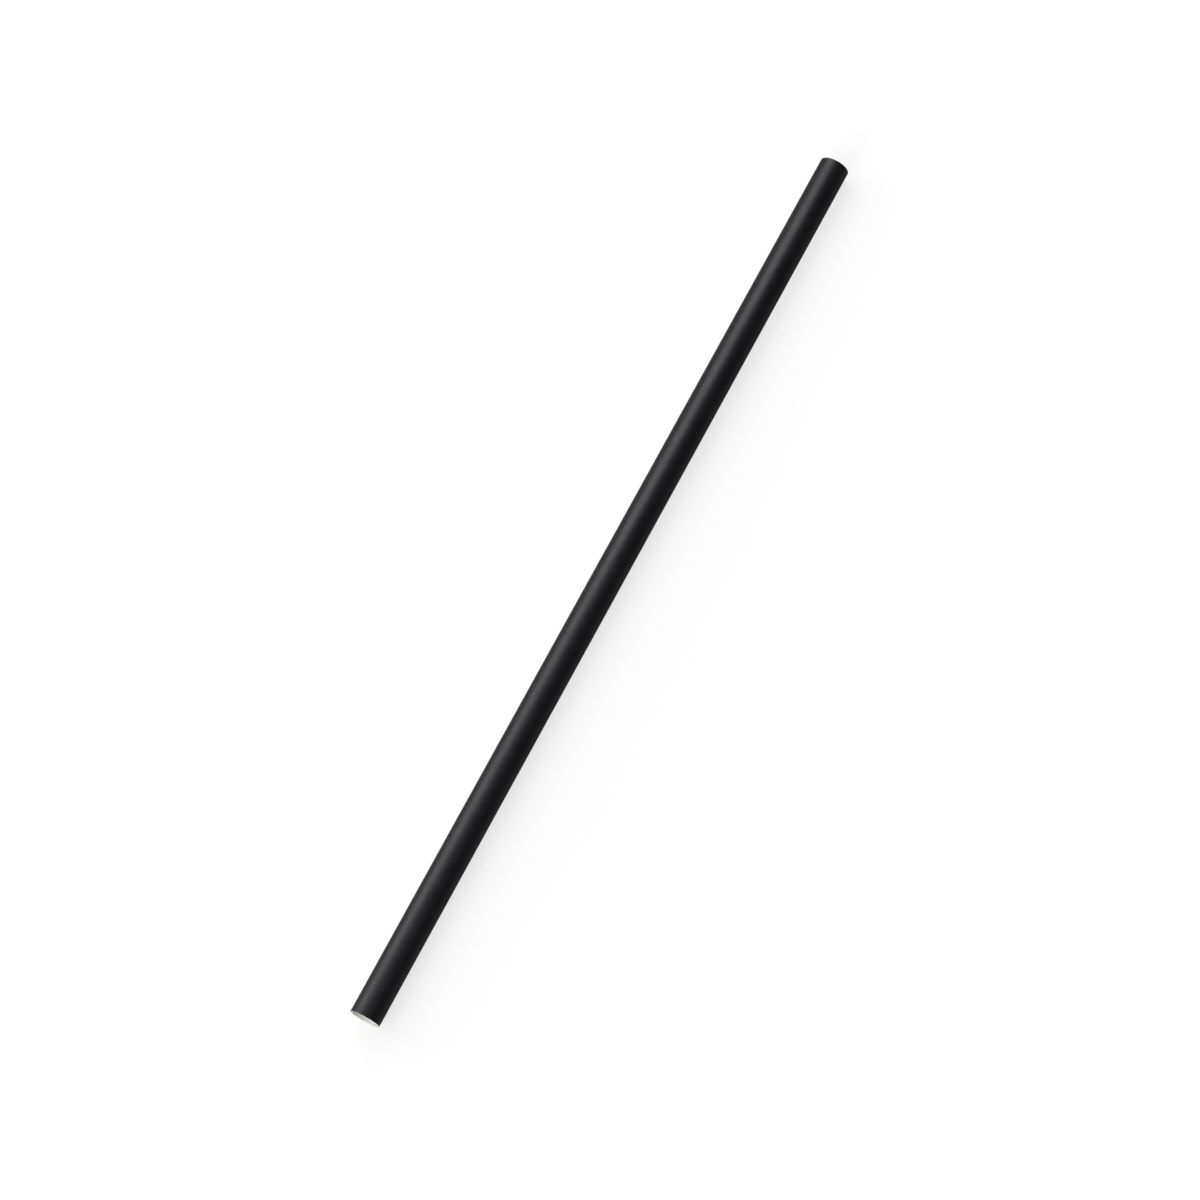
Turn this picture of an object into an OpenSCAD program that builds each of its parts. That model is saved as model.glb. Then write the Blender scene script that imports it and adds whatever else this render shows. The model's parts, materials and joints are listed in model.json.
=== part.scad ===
// Paper drinking straw, wound from three strips of paper.
// Each strip goes round the straw as a right-hand helix, and its own edges meet in a hairline seam.
// The three are glued one over another with their seams staggered, and both ends are cut square.
// The straw lies along X on the plane z = 0, and the origin is under its middle.

/* [Straw] */
// Length from one cut end to the other
straw_length = 197; // [100:1:260]
// Diameter of the bore
bore_d = 5.3; // [4.5:0.1:12]

/* [Paper] */
// Thickness of the pale strip that lines the bore
lining_ply_t = 0.16; // [0.1:0.01:0.3]
// Thickness of the pale strip in the middle of the wall
middle_ply_t = 0.16; // [0.1:0.01:0.3]
// Thickness of the black strip outside
cover_ply_t = 0.08; // [0.06:0.01:0.2]
// Film of glue between one strip and the next
glue_t = 0.01; // [0.01:0.005:0.03]

/* [Winding] */
// Advance of each strip along the straw in one full turn
winding_pitch = 13.55; // [9:0.05:24]
// Hairline between the two edges of a strip, measured along the straw
seam_gap = 0.1; // [0.06:0.01:0.3]

/* [Hidden] */
NODES = ["lining_ply", "middle_ply", "cover_ply"];

// Facets of a circle, and steps that a seam takes in one turn
$fn = 96;
seam_steps_per_turn = 24;

// Inside radius of each strip, in the order of winding: each lies on the glue over the one before
lining_ply_r = bore_d / 2;
middle_ply_r = lining_ply_r + lining_ply_t + glue_t;
cover_ply_r = middle_ply_r + middle_ply_t + glue_t;
straw_r = cover_ply_r + cover_ply_t;

// Seams are a third of a turn apart, so that none lies over another. The first one crosses the
// middle of the straw at this angle from straight below, which is no whole number of steps,
// so that no corner of a seam falls on the line where a circle starts and ends.
first_seam_angle = 5;
seam_stagger = 360 / len(NODES);

// Turns of a seam cutter, which runs past both cut ends
seam_turns = ceil(straw_length / winding_pitch) + 1;
// How far a seam cutter stands clear of its strip, inside and outside
cutter_clear = 0.05;
// How far the drill for the bore runs past each cut end
drill_overrun = 1;

// Corners of the seam's section at a turn: lower edge inside and outside, upper edge outside and inside
function seam_section(turn, r_low, r_high) =
    let (
        angle = 360 * turn,
        z = winding_pitch * turn
    )
    [
        for (corner = [[r_low, -1], [r_high, -1], [r_high, 1], [r_low, 1]])
            [corner[0] * cos(angle), corner[0] * sin(angle), z + corner[1] * seam_gap / 2]
    ];

// Triangles from one section to the next. The lower and the upper face are cut along the same
// diagonal, so that they stay the width of the seam apart where they twist.
function seam_band(step) =
    let (
        here = 4 * step,
        next = here + 4
    )
    [
        [here, here + 1, next], [next, here + 1, next + 1],
        [here + 1, here + 2, next + 1], [next + 1, here + 2, next + 2],
        [here + 2, next + 3, next + 2], [here + 2, here + 3, next + 3],
        [here + 3, here, next + 3], [next + 3, here, next]
    ];

// Right-hand helical ribbon, upright and centred on the origin, that slits a strip
module seam_cutter(r_low, r_high) {
    steps = seam_turns * seam_steps_per_turn;
    points = [
        for (i = [0 : steps])
            each seam_section(i / seam_steps_per_turn - seam_turns / 2, r_low, r_high)
    ];
    bands = [for (i = [0 : steps - 1]) each seam_band(i)];
    last = 4 * steps;
    ends = [[0, 2, 1], [0, 3, 2], [last, last + 1, last + 2], [last, last + 2, last + 3]];
    polyhedron(points, concat(bands, ends), convexity = 10);
}

// One wound strip: a tube slit by its own seam, laid along X on z = 0.
// The seam crosses the middle of the straw at seam_angle, counted from straight below.
module wound_ply(r_inner, thickness, seam_angle) {
    r_outer = r_inner + thickness;
    // The ribbon's outer side is made of chords, and they too clear the strip
    chord_reach = cos(180 / seam_steps_per_turn);
    translate([0, 0, straw_r])
        rotate([0, 90, 0])
            difference() {
                cylinder(r = r_outer, h = straw_length, center = true);
                cylinder(r = r_inner, h = straw_length + 2 * drill_overrun, center = true);
                rotate([0, 0, seam_angle])
                    seam_cutter(r_inner - cutter_clear, (r_outer + cutter_clear) / chord_reach);
            }
}

module lining_ply() {
    color("ivory") wound_ply(lining_ply_r, lining_ply_t, first_seam_angle);
}

module middle_ply() {
    color("linen") wound_ply(middle_ply_r, middle_ply_t, first_seam_angle - seam_stagger);
}

module cover_ply() {
    color("#1b1b1d") wound_ply(cover_ply_r, cover_ply_t, first_seam_angle - 2 * seam_stagger);
}

lining_ply();
middle_ply();
cover_ply();
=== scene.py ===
# Paper drinking straw, black outside and pale inside, lying on a white floor
import json
import math

import bmesh
import bpy
from mathutils import Euler, Matrix, Quaternion, Vector


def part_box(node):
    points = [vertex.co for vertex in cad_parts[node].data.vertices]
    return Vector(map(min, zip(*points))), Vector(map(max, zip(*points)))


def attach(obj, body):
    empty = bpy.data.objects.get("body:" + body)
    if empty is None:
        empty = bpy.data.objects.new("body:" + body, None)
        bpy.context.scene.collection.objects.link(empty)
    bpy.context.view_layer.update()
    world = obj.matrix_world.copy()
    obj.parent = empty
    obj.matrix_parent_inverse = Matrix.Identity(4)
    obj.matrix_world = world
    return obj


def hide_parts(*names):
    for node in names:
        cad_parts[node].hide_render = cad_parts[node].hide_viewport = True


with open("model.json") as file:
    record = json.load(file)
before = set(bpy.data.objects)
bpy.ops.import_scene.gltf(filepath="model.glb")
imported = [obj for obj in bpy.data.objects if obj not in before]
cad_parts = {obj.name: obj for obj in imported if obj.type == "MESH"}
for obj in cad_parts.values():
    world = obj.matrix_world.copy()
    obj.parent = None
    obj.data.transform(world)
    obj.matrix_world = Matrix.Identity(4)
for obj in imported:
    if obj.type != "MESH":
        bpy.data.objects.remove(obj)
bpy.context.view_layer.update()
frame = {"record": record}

# Sizes in metres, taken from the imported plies
MM = 0.001
cover_low, cover_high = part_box("cover_ply")
middle_low, middle_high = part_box("middle_ply")
lining_low, lining_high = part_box("lining_ply")
STRAW_LENGTH = cover_high.x - cover_low.x
HALF_LENGTH = STRAW_LENGTH / 2
COVER_RADIUS = (cover_high.z - cover_low.z) / 2
MIDDLE_RADIUS = (middle_high.z - middle_low.z) / 2
LINING_RADIUS = (lining_high.z - lining_low.z) / 2
BORE_RADIUS = frame["record"]["mounts"][0]["dims"]["r_mm"] * MM
GLUE = 0.01 * MM
AXIS = Vector((0, 0, COVER_RADIUS))
ALONG = Vector((1, 0, 0))

# Winding: a seam goes round as a right-hand helix, a third of a turn from the next
PITCH = 13.55 * MM
LINING_SEAM = math.radians(5)
MIDDLE_SEAM = LINING_SEAM - math.tau / 3
COVER_SEAM = LINING_SEAM - 2 * math.tau / 3
STEPS_A_TURN = 96
DOUBLINGS = math.ceil(math.log2(STRAW_LENGTH / PITCH + 1))
HALF_WINDING = (2**DOUBLINGS + 1) / 2
STRIP_SLOPE = math.atan(PITCH / (math.tau * COVER_RADIUS))

# Cut edges: the two edges of a strip butt, and the knife leaves a small chamfer
BUTT_GAP = 0.006 * MM
CHAMFER = 0.012 * MM
SHARP_EDGE = math.radians(35)
# Distances within which points are merged, and within which a point lies on a cut
MERGE = 0.0005 * MM
ON_THE_CUT = 1e-9
# Rounding of a strip's edge: distance from the edge and how far the paper sinks there, in mm
EDGE_ROUNDING = (
    (0, 0.018),
    (0.006, 0.009),
    (0.018, 0.0045),
    (0.06, 0.003),
    (0.2, 0.0018),
    (0.45, 0),
)
# Faint hollow where the cover bridges a seam under it: distance and sink, in mm
SEAM_HOLLOW = ((-0.4, 0), (-0.15, 0.0012), (0, 0.002), (0.15, 0.0012), (0.4, 0))
# Places of the two seams under the cover, as shares of its strip's width
SEAMS_BENEATH = (1 / 3, 2 / 3)

# Paper: depth of its relief, and where the colour of a cut end starts and is full, in mm from it
RELIEF_STRENGTH = 0.8
RELIEF_DEPTH = 0.02 * MM
CUT_START = 0.03
CUT_FULL = 0.008

# Black paper: thick and thin dye, pale flecks, worn seam edges and the brown core of a cut
DEEP_DYE = (0.0044, 0.0044, 0.0053)
THIN_DYE = (0.0078, 0.0078, 0.0092)
FLECK = (0.016, 0.0155, 0.016)
FLECK_RANGE = (0.56, 0.76)
FLECK_SHARE = 0.45
WORN = (0.020, 0.019, 0.018)
WORN_WIDTHS = (0.01, 0.11)
WORN_SHARE = 0.5
DARK_CORE = (0.22, 0.13, 0.07)
LIGHT_CORE = (0.38, 0.26, 0.17)
CORE_START = 0.03
CORE_FULL = 0.052
SATIN_ROUGHNESS = 0.30
SATIN_LEVEL = 0.5
SATIN_TINT = (0.95, 0.95, 1, 1)

# Pale papers: light and dark patches of each, and the cream of their cut ends
LINING_LIGHT = (0.85, 0.84, 0.82)
LINING_DARK = (0.80, 0.79, 0.77)
MIDDLE_LIGHT = (0.84, 0.80, 0.73)
MIDDLE_DARK = (0.78, 0.74, 0.67)
CUT_PAPER = (0.93, 0.84, 0.68)
CUT_SHARE = 0.85
FIBRE_RANGE = (0.4, 0.75)
FIBRE_SHARE = 0.4
FIBRE_SHADE = 0.93
GLUED_WIDTHS = (0.02, 0.16)
GLUED_SHARE = 0.3
GLUED_SHADE = 0.8
UNCOATED_ROUGHNESS = 0.78
UNCOATED_LEVEL = 0.35

# Floor and backdrop
WHITE = (1, 1, 1, 1)
FLOOR_SIZE = 4
FLOOR_SHADE = 0.27
AMBIENT = 0.05
# Light of the lamps on the floor under the straw, and how it changes over a metre in X and in Y
LIGHT_LEVEL = 0.94
LIGHT_SLOPE = (-0.67, 1.9, 0)
# Distances from the straw's middle between which the floor turns into plain white backdrop
LIT_FLOOR = (0.16, 0.45)
# How much of the white background shows in the sheen of satin paper
GLOSS_SHARE = 0.03

# Camera: level, looking down on the straw, with its focal length in pixels of the photograph
SENSOR = 36
FOCAL_PIXELS = 3239
IMAGE_PIXELS = 1200
CAMERA_HEADING = math.radians(27.59)
CAMERA_DIP = math.radians(71.61)
CAMERA_DISTANCE = 630.8 * MM
CAMERA_AIM = Vector((-4.66, -0.26, 0)) * MM
CAMERA_NEAREST = 0.01


class Wire:
    """An output socket that adds Math nodes when it is used in a sum or a product."""

    def __init__(self, sheet, socket):
        self.sheet = sheet
        self.socket = socket

    def beside(self, output):
        """Another output of the same node."""
        return Wire(self.sheet, self.socket.node.outputs[output])

    def __add__(self, other):
        return self.sheet.math("ADD", self, other)

    def __radd__(self, other):
        return self.sheet.math("ADD", other, self)

    def __sub__(self, other):
        return self.sheet.math("SUBTRACT", self, other)

    def __rsub__(self, other):
        return self.sheet.math("SUBTRACT", other, self)

    def __mul__(self, other):
        return self.sheet.math("MULTIPLY", self, other)

    def __rmul__(self, other):
        return self.sheet.math("MULTIPLY", other, self)

    def __truediv__(self, other):
        return self.sheet.math("DIVIDE", self, other)

    def __rtruediv__(self, other):
        return self.sheet.math("DIVIDE", other, self)


class Sheet:
    """The nodes of one material or of the world."""

    def __init__(self, tree):
        self.tree = tree
        tree.nodes.clear()

    def add(self, kind, settings=None, sockets=None, output=0):
        """Adds a node, sets it up, then gives its sockets their values or links."""
        made = self.tree.nodes.new("ShaderNode" + kind)
        for name, value in (settings or {}).items():
            setattr(made, name, value)
        for place, value in (sockets or {}).items():
            if isinstance(value, Wire):
                self.tree.links.new(value.socket, made.inputs[place])
            else:
                made.inputs[place].default_value = value
        return Wire(self, made.outputs[output]) if made.outputs else None

    def math(self, operation, first, second=0):
        return self.add("Math", {"operation": operation}, {0: first, 1: second})

    def ramp(self, value, low, high):
        """Nothing below low, one above high, and a smooth rise between them."""
        return self.add(
            "MapRange",
            {"interpolation_type": "SMOOTHSTEP"},
            {"Value": value, "From Min": low, "From Max": high},
        )

    def blend(self, share, first, second):
        """One colour turning into another as the share goes from 0 to 1."""
        colours = [c if isinstance(c, Wire) else (*c, 1) for c in (first, second)]
        return self.add("Mix", {"data_type": "RGBA"}, {0: share, 6: colours[0], 7: colours[1]}, 2)

    def vector(self, x, y, z):
        return self.add("CombineXYZ", None, {0: x, 1: y, 2: z})

    def noise(self, place, scale, detail, roughness):
        return self.add(
            "TexNoise",
            {"noise_dimensions": "3D"},
            {"Vector": place, "Scale": scale, "Detail": detail, "Roughness": roughness},
        )


def new_material(name):
    material = bpy.data.materials.new(name)
    material.use_nodes = True
    return material, Sheet(material.node_tree)


def strip_place(sheet, seam):
    """Place on a wound strip in mm: along, across, from its edge, from the axis, and along X."""
    pitch = PITCH / MM
    spot = sheet.add("TexCoord", None, None, "Object")
    spot = sheet.add("SeparateXYZ", None, {0: spot})
    x = spot / MM
    y = spot.beside("Y") / MM
    drop = (COVER_RADIUS - spot.beside("Z")) / MM
    angle = sheet.math("ARCTAN2", y, drop)
    radius = sheet.math("SQRT", y * y + drop * drop)
    turns = x / pitch - (angle - seam) / math.tau
    whole = sheet.math("FLOOR", turns)
    share = turns - whole
    rise = share * pitch
    reach = (angle + whole * math.tau) * (COVER_RADIUS / MM)
    along = reach / math.cos(STRIP_SLOPE) + rise * math.sin(STRIP_SLOPE)
    across = rise * math.cos(STRIP_SLOPE)
    edge = sheet.math("PINGPONG", share, 0.5) * (pitch * math.cos(STRIP_SLOPE))
    return along, across, edge, radius, x


def fibre_pattern(sheet, along, across, radius, layer):
    """Paper fibres, drawn out along the strip, and the cloudiness of the sheet."""
    drawn_out = sheet.vector(along * 0.12, across, radius + layer)
    matted = sheet.vector(along * 0.5, across * 0.5, radius * 2 + layer)
    patchy = sheet.vector(along * 0.5, across * 0.8, layer)
    long_fibres = sheet.noise(drawn_out, scale=14, detail=3, roughness=0.65)
    cross_fibres = sheet.noise(matted, scale=9, detail=2, roughness=0.6)
    clouds = sheet.noise(patchy, scale=0.55, detail=3, roughness=0.6)
    return long_fibres, cross_fibres, clouds


def cut_end(sheet, x):
    """One on the two cut ends of the straw, nothing along it."""
    end = HALF_LENGTH / MM
    return sheet.ramp(sheet.math("ABSOLUTE", x), end - CUT_START, end - CUT_FULL)


def paper_shader(sheet, colour, roughness, height, sheen):
    """Gives a sheet of paper its surface, with its fibres as a fine relief."""
    relief = sheet.add(
        "Bump",
        None,
        {"Strength": RELIEF_STRENGTH, "Distance": RELIEF_DEPTH, "Height": height},
    )
    sockets = {"Base Color": colour, "Roughness": roughness, "Normal": relief, **sheen}
    shade = sheet.add("BsdfPrincipled", None, sockets)
    sheet.add("OutputMaterial", None, {"Surface": shade})


def black_paper():
    """Dyed black paper with a satin face, pale in its core where an edge is cut."""
    material, sheet = new_material("black_paper")
    along, across, edge, radius, x = strip_place(sheet, COVER_SEAM)
    long_fibres, cross_fibres, clouds = fibre_pattern(sheet, along, across, radius, layer=3)
    dye = sheet.blend(clouds, DEEP_DYE, THIN_DYE)
    dye = sheet.blend(sheet.ramp(cross_fibres, *FLECK_RANGE) * FLECK_SHARE, dye, FLECK)
    worn = 1 - sheet.ramp(edge, *WORN_WIDTHS)
    dye = sheet.blend(worn * WORN_SHARE, dye, WORN)
    face = COVER_RADIUS / MM
    core = 1 - sheet.ramp(radius, face - CORE_FULL, face - CORE_START)
    core_colour = sheet.blend(long_fibres, DARK_CORE, LIGHT_CORE)
    colour = sheet.blend(core, dye, core_colour)
    roughness = SATIN_ROUGHNESS + long_fibres * 0.08 + clouds * 0.17 + cut_end(sheet, x) * 0.25
    height = long_fibres * 0.6 + cross_fibres * 0.6 + clouds * 2
    sheen = {"Specular IOR Level": SATIN_LEVEL, "Specular Tint": SATIN_TINT}
    paper_shader(sheet, colour, roughness, height, sheen)
    return material


def pale_paper(name, seam, layer, light, dark):
    """Uncoated food paper, warm white, with fibres and cream at its cut ends."""
    material, sheet = new_material(name)
    along, across, edge, radius, x = strip_place(sheet, seam)
    long_fibres, cross_fibres, clouds = fibre_pattern(sheet, along, across, radius, layer)
    body = sheet.blend(clouds, dark, light)
    fibres = sheet.ramp(long_fibres, *FIBRE_RANGE)
    body = sheet.blend(fibres * FIBRE_SHARE, body, tuple(FIBRE_SHADE * c for c in dark))
    glued = 1 - sheet.ramp(edge, *GLUED_WIDTHS)
    body = sheet.blend(glued * GLUED_SHARE, body, tuple(GLUED_SHADE * c for c in dark))
    body = sheet.blend(cut_end(sheet, x) * CUT_SHARE, body, CUT_PAPER)
    roughness = UNCOATED_ROUGHNESS + cross_fibres * 0.14
    height = long_fibres * 0.6 + cross_fibres * 0.4
    paper_shader(sheet, body, roughness, height, {"Specular IOR Level": UNCOATED_LEVEL})
    return material


def strip_section(shape, inner_radius, outer_radius, hollows):
    """Outline of a strip's section under the straw's axis, from one of its edges to the other."""
    width = (PITCH - BUTT_GAP) / MM
    face = list(EDGE_ROUNDING)
    for hollow in hollows:
        face += [(hollow * PITCH / MM + distance, sink) for distance, sink in SEAM_HOLLOW]
    face += [(width - distance, sink) for distance, sink in reversed(EDGE_ROUNDING)]
    corners = [(distance, outer_radius - sink * MM) for distance, sink in face]
    corners += [(width, inner_radius), (0, inner_radius)]
    points = [
        shape.verts.new(AXIS + Vector((BUTT_GAP / 2 + distance * MM, 0, -radius)))
        for distance, radius in corners
    ]
    return points, [shape.edges.new(pair) for pair in zip(points, points[1:] + points[:1])]


def cut_square(shape, way):
    """Cuts one end of a wound strip square, closes it, and chamfers the cut."""
    cut = bmesh.ops.bisect_plane(
        shape,
        geom=shape.verts[:] + shape.edges[:] + shape.faces[:],
        dist=ON_THE_CUT,
        plane_co=ALONG * way * (HALF_LENGTH - CHAMFER),
        plane_no=ALONG * way,
        clear_outer=True,
    )
    rim = [e for e in cut["geom_cut"] if isinstance(e, bmesh.types.BMEdge)]
    end = bmesh.ops.edgeloop_fill(shape, edges=rim)["faces"]
    bmesh.ops.recalc_face_normals(shape, faces=shape.faces)
    bmesh.ops.inset_region(
        shape,
        faces=end,
        thickness=CHAMFER,
        depth=CHAMFER,
        use_even_offset=True,
    )


def wound_strip(name, inner_radius, outer_radius, seam, hollows, material):
    """A strip of paper wound round the straw's axis, cut square at both ends."""
    shape = bmesh.new()
    points, edges = strip_section(shape, inner_radius, outer_radius, hollows)
    first = Matrix.Rotation(seam - HALF_WINDING * math.tau, 3, ALONG)
    bmesh.ops.rotate(shape, verts=points, cent=AXIS, matrix=first)
    bmesh.ops.translate(shape, verts=points, vec=ALONG * -PITCH * HALF_WINDING)
    bmesh.ops.spin(
        shape,
        geom=points + edges,
        cent=AXIS,
        axis=ALONG,
        dvec=ALONG * (PITCH / STEPS_A_TURN),
        angle=math.tau,
        steps=STEPS_A_TURN,
        use_duplicate=False,
    )
    # One turn is wound, and the winding is doubled until it is longer than the straw
    for doubling in range(DOUBLINGS):
        whole = shape.verts[:] + shape.edges[:] + shape.faces[:]
        more = bmesh.ops.duplicate(shape, geom=whole)["geom"]
        onward = [v for v in more if isinstance(v, bmesh.types.BMVert)]
        bmesh.ops.translate(shape, verts=onward, vec=ALONG * PITCH * 2**doubling)
    bmesh.ops.remove_doubles(shape, verts=shape.verts, dist=MERGE)
    for way in (-1, 1):
        cut_square(shape, way)
    bmesh.ops.recalc_face_normals(shape, faces=shape.faces)
    for face in shape.faces:
        face.smooth = True
    for edge in shape.edges:
        edge.smooth = edge.calc_face_angle(math.pi) < SHARP_EDGE
    mesh = bpy.data.meshes.new(name)
    shape.to_mesh(mesh)
    shape.free()
    mesh.materials.append(material)
    strip = bpy.data.objects.new(name, mesh)
    bpy.context.scene.collection.objects.link(strip)
    return strip


def lay_ply(strip, node):
    """Puts a strip in the place of its node."""
    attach(strip, "root")
    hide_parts(node)


def background_share(sheet):
    """Full for the camera and through clear things, and faint in the sheen of paper."""
    ray = sheet.add("LightPath")
    return ray + ray.beside("Is Transmission Ray") + ray.beside("Is Glossy Ray") * GLOSS_SHARE


def white_floor():
    """Plain white table that keeps a soft shadow."""
    material, sheet = new_material("white_floor")
    seen = background_share(sheet)
    spot = sheet.add("TexCoord", None, None, "Object")
    fall = sheet.add(
        "VectorMath",
        {"operation": "DOT_PRODUCT"},
        {0: spot, 1: LIGHT_SLOPE},
        "Value",
    )
    lit = (LIGHT_LEVEL + fall) * FLOOR_SHADE
    table = sheet.add("BsdfDiffuse", None, {"Color": (FLOOR_SHADE,) * 3 + (1,)})
    glow = sheet.add("Emission", None, {"Color": WHITE, "Strength": seen * (1 - lit)})
    near = sheet.add("AddShader", None, {0: table, 1: glow})
    backdrop = sheet.add("Emission", None, {"Color": WHITE, "Strength": seen})
    distance = sheet.add("VectorMath", {"operation": "LENGTH"}, {0: spot}, "Value")
    far = sheet.ramp(distance, *LIT_FLOOR)
    both = sheet.add("MixShader", None, {0: far, 1: near, 2: backdrop})
    sheet.add("OutputMaterial", None, {"Surface": both})
    return material


def softbox(name, place, aim, width, height, radiance, roll=0):
    """A flat lamp of a given radiance, turned to what it lights and rolled about its own axis."""
    lamp = bpy.data.lights.new(name, "AREA")
    lamp.shape = "RECTANGLE"
    lamp.size = width
    lamp.size_y = height
    lamp.energy = radiance * math.pi * width * height
    body = bpy.data.objects.new(name, lamp)
    body.location = place
    facing = (Vector(aim) - Vector(place)).to_track_quat("-Z", "Y")
    body.rotation_euler = (facing @ Quaternion((0, 0, 1), roll)).to_euler()
    bpy.context.scene.collection.objects.link(body)


# The three plies, from the bore outwards
lining_paper = pale_paper("lining_paper", LINING_SEAM, 11, LINING_LIGHT, LINING_DARK)
middle_paper = pale_paper("middle_paper", MIDDLE_SEAM, 7, MIDDLE_LIGHT, MIDDLE_DARK)
lining = wound_strip("lining_strip", BORE_RADIUS, LINING_RADIUS, LINING_SEAM, (), lining_paper)
middle = wound_strip(
    "middle_strip",
    LINING_RADIUS + GLUE,
    MIDDLE_RADIUS,
    MIDDLE_SEAM,
    (),
    middle_paper,
)
cover = wound_strip(
    "cover_strip",
    MIDDLE_RADIUS + GLUE,
    COVER_RADIUS,
    COVER_SEAM,
    SEAMS_BENEATH,
    black_paper(),
)
lay_ply(lining, "lining_ply")
lay_ply(middle, "middle_ply")
lay_ply(cover, "cover_ply")

# Floor
floor_shape = bmesh.new()
bmesh.ops.create_grid(floor_shape, x_segments=1, y_segments=1, size=FLOOR_SIZE / 2)
floor_mesh = bpy.data.meshes.new("floor")
floor_shape.to_mesh(floor_mesh)
floor_shape.free()
floor_mesh.materials.append(white_floor())
floor = bpy.data.objects.new("floor", floor_mesh)
bpy.context.scene.collection.objects.link(floor)

# Studio round the floor, white to the camera and dim as a light
world = bpy.data.worlds.new("studio")
world.use_nodes = True
bpy.context.scene.world = world
sky = Sheet(world.node_tree)
strength = AMBIENT + background_share(sky) * (1 - AMBIENT)
backdrop = sky.add("Background", None, {"Color": WHITE, "Strength": strength})
sky.add("OutputWorld", None, {"Surface": backdrop})

# Lamps: a long softbox on the left of the picture, and one for each cut end
softbox(
    "key",
    place=(0.100, 0.349, 0.284),
    aim=(0, 0, 0),
    width=0.90,
    height=0.33,
    radiance=2.8,
    roll=math.radians(-27.3),
)
softbox(
    "near_end_light",
    place=(-0.457, 0.105, 0.330),
    aim=(-HALF_LENGTH, 0, 0),
    width=0.40,
    height=0.46,
    radiance=4.5,
)
softbox(
    "far_end_light",
    place=(0.460, 0.290, 0.140),
    aim=(HALF_LENGTH, 0, 0),
    width=0.32,
    height=0.20,
    radiance=1.6,
)

# Camera at the photograph's viewing angle
lens = bpy.data.cameras.new("camera")
lens.sensor_width = SENSOR
lens.lens = SENSOR * FOCAL_PIXELS / IMAGE_PIXELS
lens.clip_start = CAMERA_NEAREST
camera = bpy.data.objects.new("camera", lens)
sight = Vector(
    (
        math.cos(CAMERA_HEADING) * math.cos(CAMERA_DIP),
        math.sin(CAMERA_HEADING) * math.cos(CAMERA_DIP),
        -math.sin(CAMERA_DIP),
    )
)
camera.location = CAMERA_AIM - sight * CAMERA_DISTANCE
camera.rotation_euler = Euler((math.pi / 2 - CAMERA_DIP, 0, CAMERA_HEADING - math.pi / 2))
bpy.context.scene.collection.objects.link(camera)
bpy.context.scene.camera = camera
bpy.context.scene.view_settings.view_transform = "Standard"
